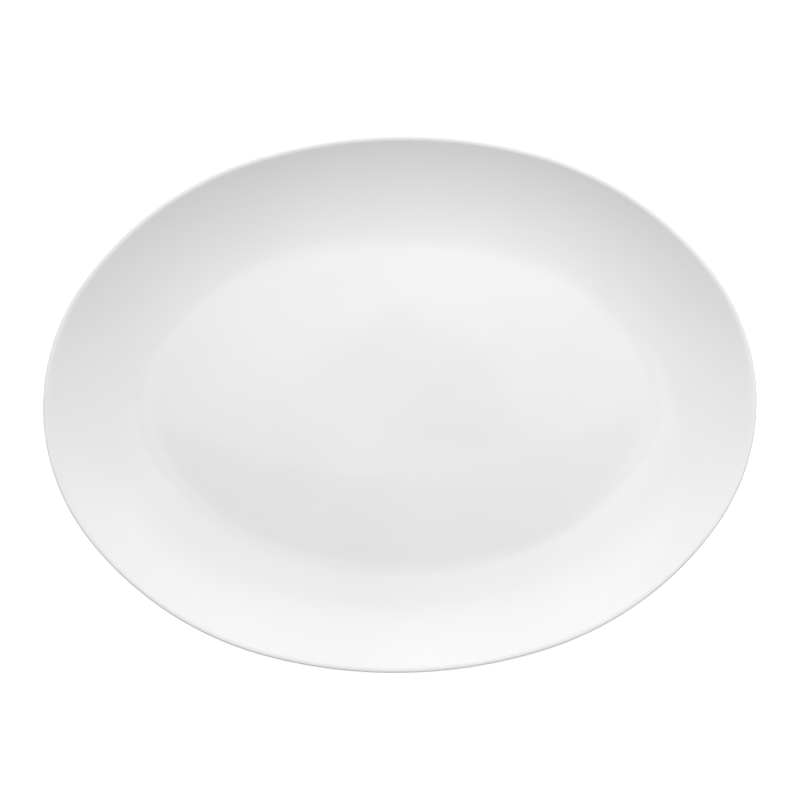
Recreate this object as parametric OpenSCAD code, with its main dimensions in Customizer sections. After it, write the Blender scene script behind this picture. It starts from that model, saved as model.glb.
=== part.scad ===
// Oval coupe platter in hard porcelain, glazed all over except for the ground foot.
// The origin is on the table, under the middle of the well. X runs along the platter's
// length, Y across it and Z up. All sizes are in millimetres.
//
// The outline is an oval of eight tangent arcs. Every curved part is one cross-section,
// swept round those arcs at a constant distance from the lip. In a cross-section, x is
// the distance inwards from the lip's outer edge, and y is the height above the table.

/* [Platter] */
// Overall length, from lip to lip
platter_l = 340; // [330:2:360]
// Overall width, from lip to lip
platter_w = 256; // [250:2:260]
// Overall height, from the table to the top of the lip
platter_h = 25; // [24:0.5:28]
// Radius of the outline's arc at each end
end_r = 102; // [100:1:104]

/* [Rim and well] */
// Radius of the rounded lip, which is half the lip's thickness
lip_r = 1.5; // [1.2:0.1:1.8]
// Distance from the lip's outer edge to the flat floor of the well
well_inset = 54; // [50:1:56]
// Depth of the well, from the top of the lip down to the floor
well_depth = 15.5; // [14:0.5:16]
// Thickness of the floor of the well, with its glaze
floor_t = 4.8; // [4.2:0.1:5]

/* [Foot ring] */
// Distance from the lip's outer edge to the root of the foot ring
foot_inset = 57; // [56.5:0.5:60]
// Width of the foot ring at its root
foot_w = 5.4; // [4.8:0.2:7]
// How far each flank of the foot ring leans in towards the table
foot_lean = 0.7; // [0.3:0.1:1]
// Radius of the bearing face's two edges
foot_edge_r = 0.6; // [0.3:0.1:0.8]

/* [Glaze] */
// Thickness of the fired glaze
glaze_t = 0.3; // [0.2:0.05:0.4]
// Height above the table at which the glaze on the foot ring's flanks ends
glaze_line = 1.4; // [1:0.1:2]

/* [Hidden] */
$fn = 180;

// Straight steps that stand for each rounded stretch of a cross-section.
face_steps = 14;
lip_steps = 9;
edge_steps = 4;

// Heights of the floor's upper and lower surfaces, and of the foot ring's root.
floor_z = platter_h - well_depth;
recess_z = floor_z - floor_t;
root_z = recess_z + glaze_t;

// Directions in which the end arc meets the shoulder arc, and the shoulder arc meets the
// side arc. They are the slopes of a 3-4-5 and a 7-24-25 triangle.
end_dir = [0.8, 0.6];
side_dir = [0.28, 0.96];

// How much longer the shoulder's radius is than the end's, and the side's than the
// shoulder's, so that the arcs close on the platter's half length and half width.
end_x = platter_l / 2 - end_r;
end_y = platter_w / 2 - end_r;
side_step = (end_x - 2 * end_y) / (side_dir.x - 2 * (1 - side_dir.y));
shoulder_step = (end_y - side_step * (1 - side_dir.y)) / (1 - end_dir.y);

end_c = [end_x, 0];
shoulder_c = end_c - shoulder_step * end_dir;
side_c = shoulder_c - side_step * side_dir;
shoulder_r = end_r + shoulder_step;
side_r = shoulder_r + side_step;

// Each arc of the outline, anticlockwise from +X: its centre, its radius, and the
// directions in which it starts and ends.
ARCS = [
    [end_c, end_r, mirror_y(end_dir), end_dir],
    [shoulder_c, shoulder_r, end_dir, side_dir],
    [side_c, side_r, side_dir, mirror_x(side_dir)],
    [mirror_x(shoulder_c), shoulder_r, mirror_x(side_dir), mirror_x(end_dir)],
    [-end_c, end_r, mirror_x(end_dir), -end_dir],
    [-shoulder_c, shoulder_r, -end_dir, -side_dir],
    [-side_c, side_r, -side_dir, mirror_y(side_dir)],
    [mirror_y(shoulder_c), shoulder_r, mirror_y(side_dir), mirror_y(end_dir)],
];

// The rim's cross-section. The lip is a circle, and the face and the back are arcs that
// are tangent to it, and level where they reach the well.
lip_c = [lip_r, platter_h - lip_r];
run = well_inset - lip_r;
face_drop = lip_c.y - floor_z;
back_drop = lip_c.y - recess_z;
face_r = (run * run + face_drop * face_drop - lip_r * lip_r) / (2 * (face_drop + lip_r));
back_r = (run * run + back_drop * back_drop - lip_r * lip_r) / (2 * (back_drop - lip_r));
face_c = [well_inset, floor_z + face_r];
back_c = [well_inset, recess_z + back_r];

// Directions from the face's and the back's centres to the lip, as angles from +x.
face_turn = direction(lip_c - face_c);
back_turn = direction(lip_c - back_c);

// The foot ring's inner root, and the inset past which the glaze inside it is level.
foot_inner = foot_inset + foot_w;
recess_inset = foot_inner + 2;

function mirror_x(p) = [-p.x, p.y];
function mirror_y(p) = [p.x, -p.y];
function reverse(list) = [for (i = [len(list) - 1:-1:0]) list[i]];

// Angle of a direction from +x, between 0 and 360.
function direction(v) = (atan2(v.y, v.x) + 360) % 360;

// Points of an arc about c, from angle a0 up to the last step before angle a1.
function arc_points(c, r, a0, a1, steps) =
    [for (i = [0:steps - 1])
        let (a = a0 + (a1 - a0) * i / steps) c + r * [cos(a), sin(a)]];

// The rim's outline at a depth below its finished surface, from the well up the face,
// round the lip and down the back.
function rim_line(depth) = concat(
    arc_points(face_c, face_r + depth, 270, face_turn, face_steps),
    arc_points(lip_c, lip_r - depth, face_turn - 180, back_turn, lip_steps),
    arc_points(back_c, back_r - depth, back_turn, 270, face_steps),
    [[well_inset, recess_z + depth]]
);

// How far a flank of the foot ring has leant in at height z.
function lean(z) = foot_lean * (root_z - z) / (root_z - foot_edge_r);

// The part of the plane that one arc spans, from one radius to a larger one.
module wedge(arc, r0, r1) {
    polygon([r0 * arc[2], r1 * arc[2], r1 * arc[3], r0 * arc[3]]);
}

// Sweeps a cross-section round the whole outline.
module swept() {
    for (arc = ARCS)
        translate(arc[0])
            intersection() {
                rotate_extrude()
                    translate([arc[1], 0])
                        mirror([1, 0])
                            children();
                linear_extrude(platter_h)
                    wedge(arc, arc[1] / 4, arc[1] * 2);
            }
}

// Flat oval, its edge a constant distance inside the platter's: a segment to each arc,
// and an eight-sided core that overlaps them all.
module oval(inset) {
    for (arc = ARCS) {
        r = arc[1] - inset;
        translate(arc[0])
            intersection() {
                circle(r);
                wedge(arc, r / 2, r * 2);
            }
    }
    polygon([for (arc = ARCS) arc[0] + 0.75 * (arc[1] - inset) * arc[3]]);
}

// Level slab of that oval between two heights.
module slab(inset, z0, z1) {
    translate([0, 0, z0])
        linear_extrude(z1 - z0)
            oval(inset);
}

// The fired clay of the well and rim, under the glaze.
module porcelain_body() {
    color("whitesmoke") {
        swept()
            polygon(rim_line(glaze_t));
        slab(well_inset, root_z, floor_z - glaze_t);
    }
}

// The ring that the platter stands on. Its bearing face is ground flat and left bare.
module foot_ring() {
    edge_inset = foot_lean + foot_edge_r;
    outer_edge = [foot_inset + edge_inset, foot_edge_r];
    inner_edge = [foot_inner - edge_inset, foot_edge_r];
    color("linen")
        swept()
            polygon(concat(
                [[foot_inset, root_z]],
                arc_points(outer_edge, foot_edge_r, 180, 270, edge_steps),
                [[outer_edge.x, 0]],
                arc_points(inner_edge, foot_edge_r, 270, 360, edge_steps),
                [[foot_inner - foot_lean, foot_edge_r], [foot_inner, root_z]]
            ));
}

// The glaze over the well, the rim, the lip and the back, down to the foot ring.
module glaze_coat() {
    foot_skin = [
        [foot_inset + lean(recess_z) - glaze_t, recess_z],
        [foot_inset + lean(glaze_line) - glaze_t, glaze_line],
        [foot_inset + lean(glaze_line), glaze_line],
        [foot_inset, root_z],
    ];
    color("white") {
        swept()
            polygon(concat(rim_line(0), foot_skin, reverse(rim_line(glaze_t))));
        slab(well_inset, floor_z - glaze_t, floor_z);
    }
}

// The glaze inside the foot ring.
module recess_glaze() {
    color("white") {
        swept()
            polygon([
                [foot_inner, root_z],
                [foot_inner - lean(glaze_line), glaze_line],
                [foot_inner - lean(glaze_line) + glaze_t, glaze_line],
                [foot_inner - lean(recess_z) + glaze_t, recess_z],
                [recess_inset, recess_z],
                [recess_inset, root_z],
            ]);
        slab(recess_inset, recess_z, root_z);
    }
}

porcelain_body();
foot_ring();
glaze_coat();
recess_glaze();
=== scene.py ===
"""The china serving platter's finished look: smooth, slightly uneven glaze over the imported
CAD porcelain, a ground foot, and a soft studio seen from straight above.

Everything is in metres, in the CAD model's frame: X along the platter's length, Y across
it, Z up, and the table at z = 0. In a cross-section, a point's x is its inset, which is the
distance inwards from the lip's outer edge, and its y is its height."""

import math

import bmesh
import bpy
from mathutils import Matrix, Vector, noise


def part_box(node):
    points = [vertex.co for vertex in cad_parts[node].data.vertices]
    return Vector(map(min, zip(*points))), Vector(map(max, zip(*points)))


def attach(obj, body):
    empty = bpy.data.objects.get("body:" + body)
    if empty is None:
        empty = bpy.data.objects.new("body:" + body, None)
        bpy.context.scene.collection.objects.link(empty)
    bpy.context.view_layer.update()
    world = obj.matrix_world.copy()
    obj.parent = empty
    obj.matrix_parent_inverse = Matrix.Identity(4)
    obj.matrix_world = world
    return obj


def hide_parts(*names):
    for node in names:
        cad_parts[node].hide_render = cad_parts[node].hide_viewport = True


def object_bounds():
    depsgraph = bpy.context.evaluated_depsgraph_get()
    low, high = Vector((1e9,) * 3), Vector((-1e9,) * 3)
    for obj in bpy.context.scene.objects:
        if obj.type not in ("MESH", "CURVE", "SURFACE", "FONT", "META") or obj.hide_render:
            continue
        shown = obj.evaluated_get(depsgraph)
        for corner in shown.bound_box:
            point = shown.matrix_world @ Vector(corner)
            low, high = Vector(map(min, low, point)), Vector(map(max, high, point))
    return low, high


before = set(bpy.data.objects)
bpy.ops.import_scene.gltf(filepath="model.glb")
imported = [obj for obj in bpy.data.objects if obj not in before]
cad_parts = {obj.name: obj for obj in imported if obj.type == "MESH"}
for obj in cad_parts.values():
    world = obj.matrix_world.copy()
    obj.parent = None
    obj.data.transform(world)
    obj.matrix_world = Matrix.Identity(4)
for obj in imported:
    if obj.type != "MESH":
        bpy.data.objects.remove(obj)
CAD_BOX = [list(corner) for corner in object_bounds()]

MM = 0.001

# ---------------------------------------------------------------- sizes, from the frame


def true_size(value):
    """A round size, from a CAD mesh's box that is up to 0.05 mm short of it."""
    return round(value, 4)


HALF_L, HALF_W, HEIGHT = (true_size(v) for v in CAD_BOX[1])
CLAY_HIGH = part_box("porcelain_body")[1]
FOOT_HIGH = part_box("foot_ring")[1]

GLAZE_T = true_size(HALF_L - CLAY_HIGH.x)
GLAZE_LINE = true_size(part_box("recess_glaze")[0].z)
FOOT_INSET = true_size(HALF_L - FOOT_HIGH.x)
ROOT_Z = true_size(FOOT_HIGH.z)

# The rest of the CAD model's driving sizes.
END_R = 102 * MM
LIP_R = 1.5 * MM
WELL_INSET = 54 * MM
WELL_DEPTH = 15.5 * MM
FLOOR_T = 4.8 * MM
FOOT_W = 5.4 * MM
FOOT_LEAN = 0.7 * MM
FOOT_EDGE_R = 0.6 * MM

FLOOR_Z = HEIGHT - WELL_DEPTH
RECESS_Z = FLOOR_Z - FLOOR_T
FOOT_INNER = FOOT_INSET + FOOT_W

# Sizes that only the visual glaze has: its crown on the lip, the rolled edge above the bare
# foot, and how far its finish wanders from a true surface.
CROWN_R = 4 * MM
BEAD_DEPTH = 0.35 * MM
SWELL = 0.02 * MM
RIPPLE = 0.0006 * MM

# A level surface is inset as far as the core and is scaled towards the middle inside it.
CORE_INSET = FOOT_INNER + 2 * MM

# ---------------------------------------------------------------- the oval outline

END_TURN = math.atan2(0.6, 0.8)
SIDE_TURN = math.atan2(0.96, 0.28)
STEPS_PER_ARC = (80, 64, 80, 64)


def unit(angle):
    return Vector((math.cos(angle), math.sin(angle)))


def outline_rays():
    """The oval of eight tangent arcs, anticlockwise from the end arc's start, as rays that
    each hold a centre, a radius and a direction."""
    end_x, end_y = HALF_L - END_R, HALF_W - END_R
    end_dir, side_dir = unit(END_TURN), unit(SIDE_TURN)
    side_step = (end_x - 2 * end_y) / (side_dir.x - 2 * (1 - side_dir.y))
    shoulder_step = (end_y - side_step * (1 - side_dir.y)) / (1 - end_dir.y)
    end_c = Vector((end_x, 0))
    shoulder_c = end_c - shoulder_step * end_dir
    side_c = shoulder_c - side_step * side_dir
    shoulder_r = END_R + shoulder_step
    side_r = shoulder_r + side_step
    far_shoulder_c = Vector((-shoulder_c.x, shoulder_c.y))
    half = (
        (end_c, END_R, -END_TURN, END_TURN),
        (shoulder_c, shoulder_r, END_TURN, SIDE_TURN),
        (side_c, side_r, SIDE_TURN, math.pi - SIDE_TURN),
        (far_shoulder_c, shoulder_r, math.pi - SIDE_TURN, math.pi - END_TURN),
    )
    rays = []
    for turn, side in ((0, 1), (math.pi, -1)):
        for (centre, radius, start, stop), steps in zip(half, STEPS_PER_ARC):
            for i in range(steps):
                angle = start + (stop - start) * i / steps + turn
                rays.append((side * centre, radius, unit(angle)))
    return rays


RAYS = outline_rays()


def ring(inset, z, scale=1.0):
    """The oval at an inset and a height, scaled towards the middle."""
    points = []
    for centre, radius, way in RAYS:
        p = scale * (centre + (radius - inset) * way)
        points.append(Vector((p.x, p.y, z)))
    return points


# ---------------------------------------------------------------- the cross-section

UP, OUTWARDS, DOWN, INWARDS = (math.radians(turn) for turn in (90, 180, 270, 360))

LIP_C = Vector((LIP_R, HEIGHT - LIP_R))
RUN = WELL_INSET - LIP_R
FACE_DROP = LIP_C.y - FLOOR_Z
BACK_DROP = LIP_C.y - RECESS_Z
FACE_R = (RUN**2 + FACE_DROP**2 - LIP_R**2) / (2 * (FACE_DROP + LIP_R))
BACK_R = (RUN**2 + BACK_DROP**2 - LIP_R**2) / (2 * (BACK_DROP - LIP_R))
FACE_C = Vector((WELL_INSET, FLOOR_Z + FACE_R))
BACK_C = Vector((WELL_INSET, RECESS_Z + BACK_R))


def turn_of(v):
    return math.atan2(v.y, v.x) % (2 * math.pi)


FACE_TURN = turn_of(LIP_C - FACE_C)
BACK_TURN = turn_of(LIP_C - BACK_C)

# The glaze pools on the lip, so its crown is a gentler arc than the clay's, with a crisper
# outer edge. Both keep the CAD model's height and outline.
CROWN_Z = HEIGHT - CROWN_R
CROWN_RUN = math.sqrt((FACE_R + CROWN_R) ** 2 - (FACE_C.y - CROWN_Z) ** 2)
CROWN_C = Vector((WELL_INSET - CROWN_RUN, CROWN_Z))
CROWN_TURN = turn_of(CROWN_C - FACE_C)
EDGE_R = CROWN_C.x
EDGE_C = Vector((EDGE_R, HEIGHT - EDGE_R))


def arc(centre, radius, start, stop, steps):
    """Points of an arc in the cross-section, the last one left out."""
    return [
        centre + radius * unit(start + (stop - start) * i / steps) for i in range(steps)
    ]


def line(a, b, steps):
    """Points from a towards b, which is left out."""
    return [a.lerp(b, i / steps) for i in range(steps)]


def rim_section(depth, steps, lip_steps):
    """The rim at a depth below the CAD model's surface, from the well's floor up the face,
    round the lip and down the back to the level underside."""
    return (
        arc(FACE_C, FACE_R + depth, DOWN, FACE_TURN, steps)
        + arc(LIP_C, LIP_R - depth, FACE_TURN - math.pi, BACK_TURN, lip_steps)
        + arc(BACK_C, BACK_R - depth, BACK_TURN, DOWN, steps)
    )


def glazed_rim_section(steps, lip_steps):
    """The rim's finished surface, with the glaze's own crown and edge on the lip."""
    return (
        arc(FACE_C, FACE_R, DOWN, CROWN_TURN, steps)
        + arc(CROWN_C, CROWN_R, CROWN_TURN - math.pi, UP, lip_steps)
        + arc(EDGE_C, EDGE_R, UP, OUTWARDS, lip_steps)
        + arc(LIP_C, LIP_R, OUTWARDS, BACK_TURN, lip_steps)
        + arc(BACK_C, BACK_R, BACK_TURN, DOWN, steps)
    )


def lean(z):
    """How far a flank of the foot has leant towards the other one at height z."""
    return FOOT_LEAN * (ROOT_Z - z) / (ROOT_Z - FOOT_EDGE_R)


def skirt_section(root_inset, side, fillet_r, fillet_steps=7, bead_steps=6):
    """The glaze on one flank of the foot, from the level surface above it down to the rolled
    edge at the glaze line. side is -1 on the outer flank and 1 on the inner one."""
    tilt = math.atan2(FOOT_LEAN, ROOT_Z - FOOT_EDGE_R)
    centre_z = RECESS_Z - fillet_r
    off_flank = GLAZE_T + fillet_r / math.cos(tilt)
    centre = Vector((root_inset - side * lean(centre_z) + side * off_flank, centre_z))
    fillet = []
    for i in range(fillet_steps + 1):
        turn = UP - (UP - tilt) * i / fillet_steps
        fillet.append(centre + fillet_r * Vector((-side * math.cos(turn), math.sin(turn))))
    edge_z = GLAZE_LINE + BEAD_DEPTH
    edge = Vector((root_inset - side * lean(edge_z), edge_z))
    bead = []
    for i in range(bead_steps + 1):
        turn = math.pi * i / bead_steps
        across = GLAZE_T * 0.5 * (1 + math.cos(turn))
        bead.append(edge + Vector((side * across, -BEAD_DEPTH * math.sin(turn))))
    return fillet + line(fillet[-1], bead[0], steps=3)[1:] + bead


# ---------------------------------------------------------------- meshes


def waviness(p):
    """How uneven the fired glaze is at a point: long soft swells, and a far fainter ripple."""
    swell = noise.noise(Vector(p) * 7 + Vector((3.1, 7.7, 1.9)))
    ripple = noise.noise(Vector(p) * 75 + Vector((9.2, 2.4, 5.3)))
    return SWELL * swell + RIPPLE * ripple


def bridge(bm, outer, inner):
    """Quads between two rings of the same length, or triangles in threes where the inner
    ring has half as many points."""
    n = len(outer)
    if len(inner) == n:
        for i in range(n):
            j = (i + 1) % n
            bm.faces.new((outer[i], outer[j], inner[j], inner[i]))
        return
    for i, here in enumerate(inner):
        there = inner[(i + 1) % len(inner)]
        start, middle, end = (outer[(2 * i + step) % n] for step in range(3))
        bm.faces.new((start, middle, here))
        bm.faces.new((middle, there, here))
        bm.faces.new((middle, end, there))


def add_ring(bm, points):
    return [bm.verts.new(p) for p in points]


def loft(bm, section):
    """Sweeps a cross-section round the outline and returns its rings of vertices."""
    rings = [add_ring(bm, ring(p.x, p.y)) for p in section]
    for a, b in zip(rings, rings[1:]):
        bridge(bm, a, b)
    return rings


def fill(bm, edge, z):
    """Closes a level surface from its edge ring to the middle. The rings get fewer points as
    they shrink, so that its faces keep a sound shape."""
    fine_shrink, coarse_shrink = 0.93, 0.86
    halving_scale = 0.62
    fewest_points = 9
    scale, stride = 1.0, 1
    last = edge
    while len(last) > fewest_points:
        scale *= fine_shrink if stride == 1 else coarse_shrink
        if scale < halving_scale / stride:
            stride *= 2
        new = add_ring(bm, ring(CORE_INSET, z, scale)[::stride])
        bridge(bm, last, new)
        last = new
    middle = bm.verts.new((0, 0, z))
    for a, b in zip(last, last[1:] + last[:1]):
        bm.faces.new((a, b, middle))


def finish_piece(bm, name, node, material, wavy=()):
    """Turns a bmesh into a smooth piece that stands for its CAD node, with the unevenness of
    fired glaze on its wavy vertices."""
    bmesh.ops.recalc_face_normals(bm, faces=bm.faces)
    bm.normal_update()
    for v in wavy:
        v.co += v.normal * waviness(v.co)
    mesh = bpy.data.meshes.new(name)
    bm.to_mesh(mesh)
    bm.free()
    for polygon in mesh.polygons:
        polygon.use_smooth = True
    mesh.materials.append(material)
    piece = bpy.data.objects.new(name, mesh)
    bpy.context.scene.collection.objects.link(piece)
    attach(piece, "root")
    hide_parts(node)


# ---------------------------------------------------------------- materials

IRON = (0.32, 0.25, 0.19, 1)
DIRT = (0.43, 0.41, 0.38, 1)


def grey(level, warmth=0.0):
    """A near-neutral linear colour."""
    return (level * (1 + warmth), level, level * (1 - warmth), 1)


class Nodes:
    """A material's node tree, with a short way to add and link nodes."""

    def __init__(self, name):
        self.material = bpy.data.materials.new(name)
        self.material.use_nodes = True
        self.tree = self.material.node_tree
        self.shader = self.tree.nodes["Principled BSDF"]
        self.place = self.add("ShaderNodeTexCoord").outputs["Object"]

    def put(self, socket, value):
        if isinstance(value, bpy.types.NodeSocket):
            self.tree.links.new(value, socket)
        else:
            socket.default_value = value

    def put_all(self, node, values):
        """Fills a node's inputs by name, with _ for each space."""
        for key, value in values.items():
            self.put(node.inputs[key.replace("_", " ")], value)

    def add(self, kind, settings=None, **inputs):
        node = self.tree.nodes.new(kind)
        for key, value in (settings or {}).items():
            setattr(node, key, value)
        self.put_all(node, inputs)
        return node

    def set(self, **inputs):
        """Fills the shader's inputs and returns the material."""
        self.put_all(self.shader, inputs)
        return self.material

    def math(self, operation, *values):
        node = self.add("ShaderNodeMath", {"operation": operation})
        for socket, value in zip(node.inputs, values):
            self.put(socket, value)
        return node.outputs[0]

    def product(self, first, *others):
        for other in others:
            first = self.math("MULTIPLY", first, other)
        return first

    def distance(self, value, centre):
        return self.math("ABSOLUTE", self.math("SUBTRACT", value, centre))

    def ramp(self, value, span, to=(0, 1)):
        """A straight ramp over a span of the value, clamped to its two end levels."""
        node = self.add(
            "ShaderNodeMapRange",
            Value=value,
            From_Min=span[0],
            From_Max=span[1],
            To_Min=to[0],
            To_Max=to[1],
        )
        return node.outputs["Result"]

    def noise(self, scale, detail, place=None):
        node = self.add(
            "ShaderNodeTexNoise",
            Vector=place or self.place,
            Scale=scale,
            Detail=detail,
            Roughness=0.5,
        )
        return node.outputs["Fac"]

    def mix(self, share, a, b):
        """A blend of two colours, whose sockets share their names with those for numbers."""
        node = self.add("ShaderNodeMix", {"data_type": "RGBA"}, Factor=share)
        self.put(node.inputs[6], a)
        self.put(node.inputs[7], b)
        return node.outputs[2]

    def bump(self, height, distance, strength=1.0, below=None):
        """A relief, on top of the one below it."""
        node = self.add("ShaderNodeBump", Height=height, Distance=distance, Strength=strength)
        if below is not None:
            self.put(node.inputs["Normal"], below)
        return node.outputs["Normal"]

    def specks(self, scale, share, radius):
        """1 in the middle of a few scattered round specks, and 0 elsewhere. share is the part
        of the pattern's cells that hold one."""
        cells = self.add("ShaderNodeTexVoronoi", Vector=self.place, Scale=scale)
        reach = radius * scale
        near = self.ramp(cells.outputs["Distance"], (0.4 * reach, reach), (1, 0))
        cell = self.add("ShaderNodeSeparateColor", Color=cells.outputs["Color"])
        return self.product(near, self.math("LESS_THAN", cell.outputs["Red"], share))


def glaze_material(name, level, peel):
    """Clear glaze on white porcelain: a hard gloss coat over a soft white base. level is how
    pale it is, and peel is how strong its orange peel is."""
    n = Nodes(name)
    cloud = n.ramp(n.noise(scale=14, detail=3), (0.35, 0.65))
    base = n.mix(cloud, grey(level * 0.985, -0.004), grey(level * 1.01, 0.005))
    iron = n.specks(scale=55, share=0.10, radius=0.20 * MM)
    base = n.mix(n.product(iron, 0.55), base, IRON)
    rough = n.ramp(n.noise(scale=40, detail=2), (0.3, 0.7), (0.30, 0.40))
    pits = n.specks(scale=90, share=0.22, radius=0.14 * MM)
    skin = n.bump(n.noise(scale=420, detail=2), distance=0.0008 * MM * peel)
    skin = n.bump(n.math("SUBTRACT", 1.0, pits), distance=0.05 * MM, below=skin)
    return n.set(
        Base_Color=base,
        Roughness=rough,
        Normal=skin,
        Coat_Normal=skin,
        IOR=1.5,
        Specular_IOR_Level=0.25,
        Coat_Weight=1.0,
        Coat_Roughness=0.03,
        Coat_IOR=1.5,
    )


def bare_clay(name, level, warmth, rough_span, grit):
    """The nodes, colour, roughness and relief of bare fired porcelain: matt, with a fine
    grain and slight clouds of colour."""
    n = Nodes(name)
    cloud = n.noise(scale=30, detail=4)
    grain = n.noise(scale=1400, detail=2)
    share = n.product(n.math("ADD", cloud, grain), 0.5)
    base = n.mix(share, grey(level * 0.93, warmth * 1.3), grey(level * 1.05, warmth))
    rough = n.ramp(n.noise(scale=300, detail=2), (0.3, 0.7), rough_span)
    return n, base, rough, n.bump(grain, distance=grit)


def body_material():
    n, base, rough, skin = bare_clay("fired_porcelain", 0.80, 0.012, (0.62, 0.75), 0.02 * MM)
    return n.set(Base_Color=base, Roughness=rough, Normal=skin, Specular_IOR_Level=0.35)


def foot_material():
    """The foot after grinding: chalky, with fine scratches and a little grey dirt."""
    n, base, rough, skin = bare_clay("ground_foot", 0.72, 0.022, (0.78, 0.92), 0.03 * MM)
    stretch = n.add("ShaderNodeMapping", Vector=n.place, Scale=(1, 14, 1))
    scratch = n.noise(scale=160, detail=3, place=stretch.outputs["Vector"])
    dirt = n.ramp(n.noise(scale=55, detail=5), (0.52, 0.72), (0, 0.35))
    base = n.mix(dirt, base, DIRT)
    skin = n.bump(scratch, distance=0.02 * MM, strength=0.6, below=skin)
    return n.set(Base_Color=base, Roughness=rough, Normal=skin, Specular_IOR_Level=0.3)


def floor_material(glow):
    n = Nodes("paper_floor")
    base = n.mix(n.noise(scale=2, detail=2), grey(0.93), grey(0.96))
    return n.set(
        Base_Color=base,
        Roughness=0.9,
        Specular_IOR_Level=0.1,
        Emission_Color=grey(1.0),
        Emission_Strength=glow,
    )


# ---------------------------------------------------------------- the pieces


def glaze_coat(material):
    """The glaze over the well, rim and back, as a closed skin over the porcelain."""
    bm = bmesh.new()
    skirt = skirt_section(FOOT_INSET, side=-1, fillet_r=1.3 * MM)
    level = line(Vector((WELL_INSET, RECESS_Z)), skirt[0], steps=2)
    rings = loft(bm, glazed_rim_section(steps=26, lip_steps=8) + level + skirt)
    fill(bm, rings[0], FLOOR_Z)
    outer_skin = list(bm.verts)
    clay = rim_section(GLAZE_T, steps=12, lip_steps=8) + [Vector((WELL_INSET, ROOT_Z))]
    under = loft(bm, [Vector((FOOT_INSET, ROOT_Z))] + clay[::-1])
    bridge(bm, rings[-1], under[0])
    fill(bm, under[-1], FLOOR_Z - GLAZE_T)
    finish_piece(bm, "glazed_surface", "glaze_coat", material, outer_skin)


def recess_glaze(material):
    """The glaze inside the foot ring, with its own skirt down the foot's inner flank."""
    bm = bmesh.new()
    skirt = skirt_section(FOOT_INNER, side=1, fillet_r=1.6 * MM)
    rings = loft(bm, [Vector((CORE_INSET, RECESS_Z))] + skirt)
    fill(bm, rings[0], RECESS_Z)
    outer_skin = list(bm.verts)
    under = loft(bm, [Vector((FOOT_INNER, ROOT_Z)), Vector((CORE_INSET, ROOT_Z))])
    bridge(bm, rings[-1], under[0])
    fill(bm, under[-1], ROOT_Z)
    finish_piece(bm, "recess_glaze_skin", "recess_glaze", material, outer_skin)


def foot_ring(material):
    """The bare ring that the platter stands on, with its bearing face ground flat."""
    outer_flank = FOOT_INSET + FOOT_LEAN
    inner_flank = FOOT_INNER - FOOT_LEAN
    outer_c = Vector((outer_flank + FOOT_EDGE_R, FOOT_EDGE_R))
    inner_c = Vector((inner_flank - FOOT_EDGE_R, FOOT_EDGE_R))
    outer_root, inner_root = Vector((FOOT_INSET, ROOT_Z)), Vector((FOOT_INNER, ROOT_Z))
    section = (
        line(outer_root, Vector((outer_flank, FOOT_EDGE_R)), steps=4)
        + arc(outer_c, FOOT_EDGE_R, OUTWARDS, DOWN, steps=6)
        + line(Vector((outer_c.x, 0)), Vector((inner_c.x, 0)), steps=4)
        + arc(inner_c, FOOT_EDGE_R, DOWN, INWARDS, steps=6)
        + line(Vector((inner_flank, FOOT_EDGE_R)), inner_root, steps=4)
        + [inner_root]
    )
    bm = bmesh.new()
    rings = loft(bm, section)
    bridge(bm, rings[-1], rings[0])
    finish_piece(bm, "ground_foot_ring", "foot_ring", material)


def porcelain_body(material):
    """The fired clay under the glaze, which keeps its CAD mesh."""
    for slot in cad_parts["porcelain_body"].material_slots:
        slot.material = material


# ---------------------------------------------------------------- the studio

FLOOR_HALF_SIDE = 8
FLOOR_GAP = 0.05 * MM
FLOOR_GLOW = 0.68

# The room's light, how much stronger it is towards each axis, and the camera's backdrop.
ROOM_LEVEL = 0.514
ROOM_SLOPE = (0.0, 0.514, 0.0)
BACKDROP_LEVEL = 1.05

CAMERA_XY = (0.07 * MM, 1.9 * MM)
CAMERA_Z = 1.5
CAMERA_ROLL = math.radians(-1.25)
FRAME_SIDE = 380.7 * MM

# The reflected ceiling, in its own x and y from the camera's axis. A pair of numbers is
# where a soft edge starts and ends.
CEILING_HALF_SIDE = 3
CEILING_DROP = 10 * MM
PANEL_LEVEL = 0.7
PANEL_SIDES = (0.5, 1.8)
PANEL_END = (1.0, 2.9)
PANEL_EDGE_X = -0.0095
PANEL_EDGE_Y = (-0.077, -0.073)
PANEL_EDGE_R = 0.39
GLOW_LEVEL = 0.9
GLOW_CENTRE = (0, 0.1, 0)
GLOW_EDGE = (0.04, 0.36)
RISE_LEVEL = 0.7
RISE_Y = (0.2, 0.9)

# The camera's shape on that ceiling: how dark it is, and the body's share of that.
SHAPE_SHADE = 0.8
BODY_SHARE = 0.6
ROOF_X = 0.004
ROOF_SLOPE = 0.58
ROOF_EDGE = (0.080, 0.102)
BODY_X = 0.002
BODY_EDGE = (0.085, 0.107)
FADE_SLANT = 0.6
FADE_EDGE = (-0.055, 0.020)
GRIP_X = 0.060
GRIP_Y = -0.030
GRIP_X_EDGE = (0.030, 0.100)
GRIP_Y_EDGE = (0, 0.050)


def flat_sheet(name, half_side, z, material):
    """A level square sheet of the set, which isn't part of the platter."""
    bm = bmesh.new()
    bmesh.ops.create_grid(bm, x_segments=4, y_segments=4, size=half_side)
    mesh = bpy.data.meshes.new(name)
    bm.to_mesh(mesh)
    bm.free()
    mesh.materials.append(material)
    sheet = bpy.data.objects.new(name, mesh)
    sheet.location.z = z
    bpy.context.scene.collection.objects.link(sheet)
    return sheet


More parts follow.
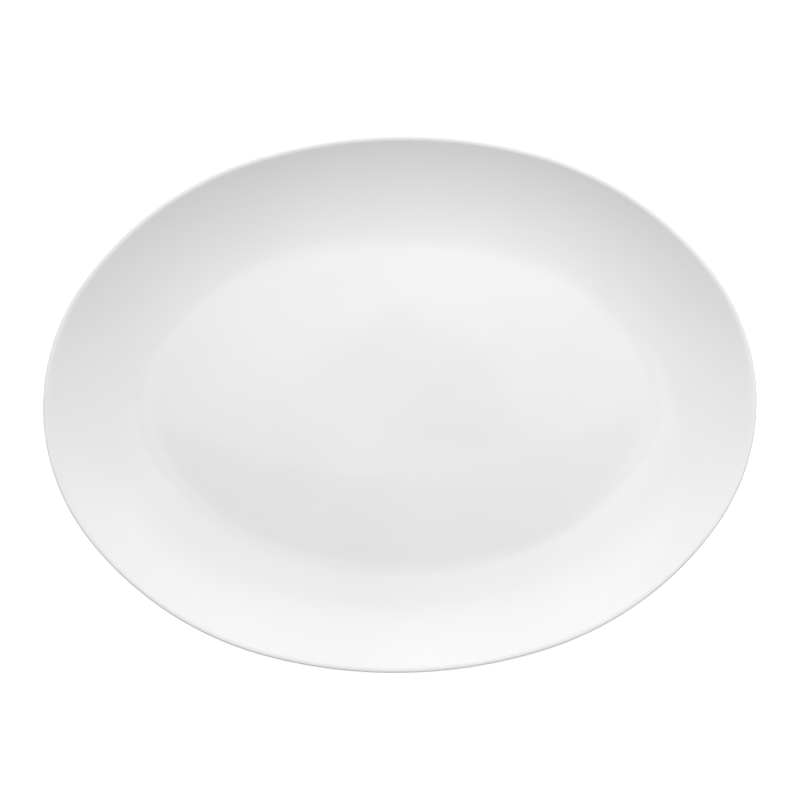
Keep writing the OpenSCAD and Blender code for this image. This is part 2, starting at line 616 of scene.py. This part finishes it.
def only_seen_by(sheet, camera=False, diffuse=False, glossy=False, shadow=False):
    """Which rays meet a sheet."""
    sheet.visible_camera = camera
    sheet.visible_diffuse = diffuse
    sheet.visible_glossy = glossy
    sheet.visible_transmission = diffuse
    sheet.visible_shadow = shadow


def paper_floor():
    """A pale floor for the camera, and one just under it for the light that bounces."""
    seen = flat_sheet("studio_floor", FLOOR_HALF_SIDE, -FLOOR_GAP, floor_material(FLOOR_GLOW))
    only_seen_by(seen, camera=True)
    under = -2 * FLOOR_GAP
    bounce = flat_sheet("studio_floor_bounce", FLOOR_HALF_SIDE, under, floor_material(0.0))
    only_seen_by(bounce, diffuse=True, glossy=True, shadow=True)


def soft_room():
    """Even light from all round, brighter from +Y, with a pale backdrop for the camera."""
    world = bpy.data.worlds.new("soft_room")
    bpy.context.scene.world = world
    world.use_nodes = True
    tree = world.node_tree
    link = tree.links.new
    way = tree.nodes.new("ShaderNodeTexCoord")
    slope = tree.nodes.new("ShaderNodeVectorMath")
    slope.operation = "DOT_PRODUCT"
    slope.inputs[1].default_value = ROOM_SLOPE
    link(way.outputs["Generated"], slope.inputs[0])
    level = tree.nodes.new("ShaderNodeMath")
    level.operation = "ADD"
    level.inputs[1].default_value = ROOM_LEVEL
    link(slope.outputs["Value"], level.inputs[0])
    room = tree.nodes["Background"]
    room.inputs["Color"].default_value = grey(1.0)
    link(level.outputs[0], room.inputs["Strength"])
    backdrop = tree.nodes.new("ShaderNodeBackground")
    backdrop.inputs["Color"].default_value = grey(1.0)
    backdrop.inputs["Strength"].default_value = BACKDROP_LEVEL
    path = tree.nodes.new("ShaderNodeLightPath")
    pick = tree.nodes.new("ShaderNodeMixShader")
    link(path.outputs["Is Camera Ray"], pick.inputs["Fac"])
    link(room.outputs[0], pick.inputs[1])
    link(backdrop.outputs[0], pick.inputs[2])
    link(pick.outputs[0], tree.nodes["World Output"].inputs["Surface"])


def around(azimuth, elevation, distance):
    """A place seen from the platter at an azimuth from +X and an elevation, in degrees."""
    a, e = math.radians(azimuth), math.radians(elevation)
    return distance * Vector((math.cos(e) * math.cos(a), math.cos(e) * math.sin(a), math.sin(e)))


def lamp(name, place, target, size, radiance, glossy=False, diffuse=True):
    """A soft round or oval area light of a given radiance, turned to face a target. Unless it
    is glossy, it lights the porcelain without showing in the gloss."""
    wide, tall = size
    data = bpy.data.lights.new(name, "AREA")
    data.shape = "ELLIPSE"
    data.size = wide
    data.size_y = tall
    data.energy = radiance * math.pi * (math.pi * wide * tall / 4)
    light = bpy.data.objects.new(name, data)
    light.location = place
    light.rotation_euler = (target - place).to_track_quat("-Z", "Y").to_euler()
    light.visible_glossy = glossy
    light.visible_diffuse = diffuse
    light.visible_camera = False
    bpy.context.scene.collection.objects.link(light)


def camera_shape(n, x, y):
    """The dark shape of the camera in the reflected ceiling: a low roof that fades out
    towards one corner, and the grip beside it."""
    roof = n.math("ADD", y, n.product(n.distance(x, ROOF_X), ROOF_SLOPE))
    slant = n.math("ADD", y, n.product(x, FADE_SLANT))
    body = n.product(
        n.ramp(roof, ROOF_EDGE, (1, 0)),
        n.ramp(n.distance(x, BODY_X), BODY_EDGE, (1, 0)),
        n.ramp(slant, FADE_EDGE),
        BODY_SHARE,
    )
    grip = n.product(
        n.ramp(n.distance(x, GRIP_X), GRIP_X_EDGE, (1, 0)),
        n.ramp(n.distance(y, GRIP_Y), GRIP_Y_EDGE, (1, 0)),
    )
    return n.math("MAXIMUM", body, grip)


def ceiling_material():
    """A bright panel with a crisp curved edge in front and soft sides, and the camera as a
    soft dark shape."""
    n = Nodes("reflected_ceiling")
    axes = n.add("ShaderNodeSeparateXYZ", Vector=n.place)
    x, y = axes.outputs["X"], axes.outputs["Y"]
    across = n.math("SUBTRACT", x, PANEL_EDGE_X)
    curve = n.math("DIVIDE", n.product(across, across), 2 * PANEL_EDGE_R)
    panel = n.product(
        n.ramp(n.distance(x, 0), PANEL_SIDES, (1, 0)),
        n.ramp(y, PANEL_END, (1, 0)),
        n.ramp(n.math("SUBTRACT", y, curve), PANEL_EDGE_Y),
    )
    away = n.add("ShaderNodeVectorMath", {"operation": "DISTANCE"})
    n.put(away.inputs[0], n.place)
    n.put(away.inputs[1], GLOW_CENTRE)
    glow = n.ramp(away.outputs["Value"], GLOW_EDGE, (GLOW_LEVEL, 0))
    rise = n.ramp(y, RISE_Y, (0, RISE_LEVEL))
    lit = n.math("ADD", n.math("ADD", glow, PANEL_LEVEL), rise)
    shade = n.product(camera_shape(n, x, y), SHAPE_SHADE)
    return n.set(
        Base_Color=grey(0.0),
        Specular_IOR_Level=0.0,
        Alpha=panel,
        Emission_Color=grey(1.0),
        Emission_Strength=n.product(lit, n.math("SUBTRACT", 1.0, shade)),
    )


def reflected_ceiling():
    """A sheet over the platter that only its gloss reflects."""
    material = ceiling_material()
    material.cycles.emission_sampling = "NONE"
    height = CAMERA_Z - CEILING_DROP
    sheet = flat_sheet("reflected_ceiling", CEILING_HALF_SIDE, height, material)
    sheet.location.xy = CAMERA_XY
    sheet.rotation_euler.z = CAMERA_ROLL
    only_seen_by(sheet, glossy=True)


def lights():
    middle = Vector((0, 0, FLOOR_Z))
    lamp("key_softbox", around(60, 60, 0.6), middle, size=(0.6, 0.6), radiance=1.93)
    lamp("back_fill", around(90, 60, 0.6), middle, size=(0.6, 0.6), radiance=0.81)
    lamp("side_fill", around(180, 35, 0.8), middle, size=(0.6, 0.6), radiance=0.47)
    lamp("low_fill", around(60, 25, 0.6), middle, size=(0.6, 0.4), radiance=0.12)
    strip_size = (0.9, 0.10)
    strip_place = around(75, 16, 0.7)
    lamp("back_strip", strip_place, middle, strip_size, radiance=2.0, glossy=True, diffuse=False)
    lip_place = Vector((0, -0.40, 12 * MM))
    beside_lip = Vector((0, 0, lip_place.z))
    lamp("lip_fill", lip_place, beside_lip, size=(0.7, 0.02), radiance=5.0)


def camera():
    """Straight above the platter, as far back as a short telephoto lens needs."""
    data = bpy.data.cameras.new("overhead_camera")
    data.sensor_width = 36
    data.lens = data.sensor_width * (CAMERA_Z - HEIGHT) / FRAME_SIDE
    data.dof.use_dof = False
    overhead = bpy.data.objects.new("overhead_camera", data)
    overhead.location = (*CAMERA_XY, CAMERA_Z)
    overhead.rotation_euler.z = CAMERA_ROLL
    bpy.context.scene.collection.objects.link(overhead)
    bpy.context.scene.camera = overhead


# ---------------------------------------------------------------- the scene

glaze_coat(glaze_material("clear_glaze", level=0.79, peel=1.0))
recess_glaze(glaze_material("recess_glaze", level=0.78, peel=1.8))
foot_ring(foot_material())
porcelain_body(body_material())

paper_floor()
soft_room()
lights()
reflected_ceiling()
camera()
bpy.context.scene.view_settings.view_transform = "Standard"
bpy.context.scene.view_settings.look = "None"
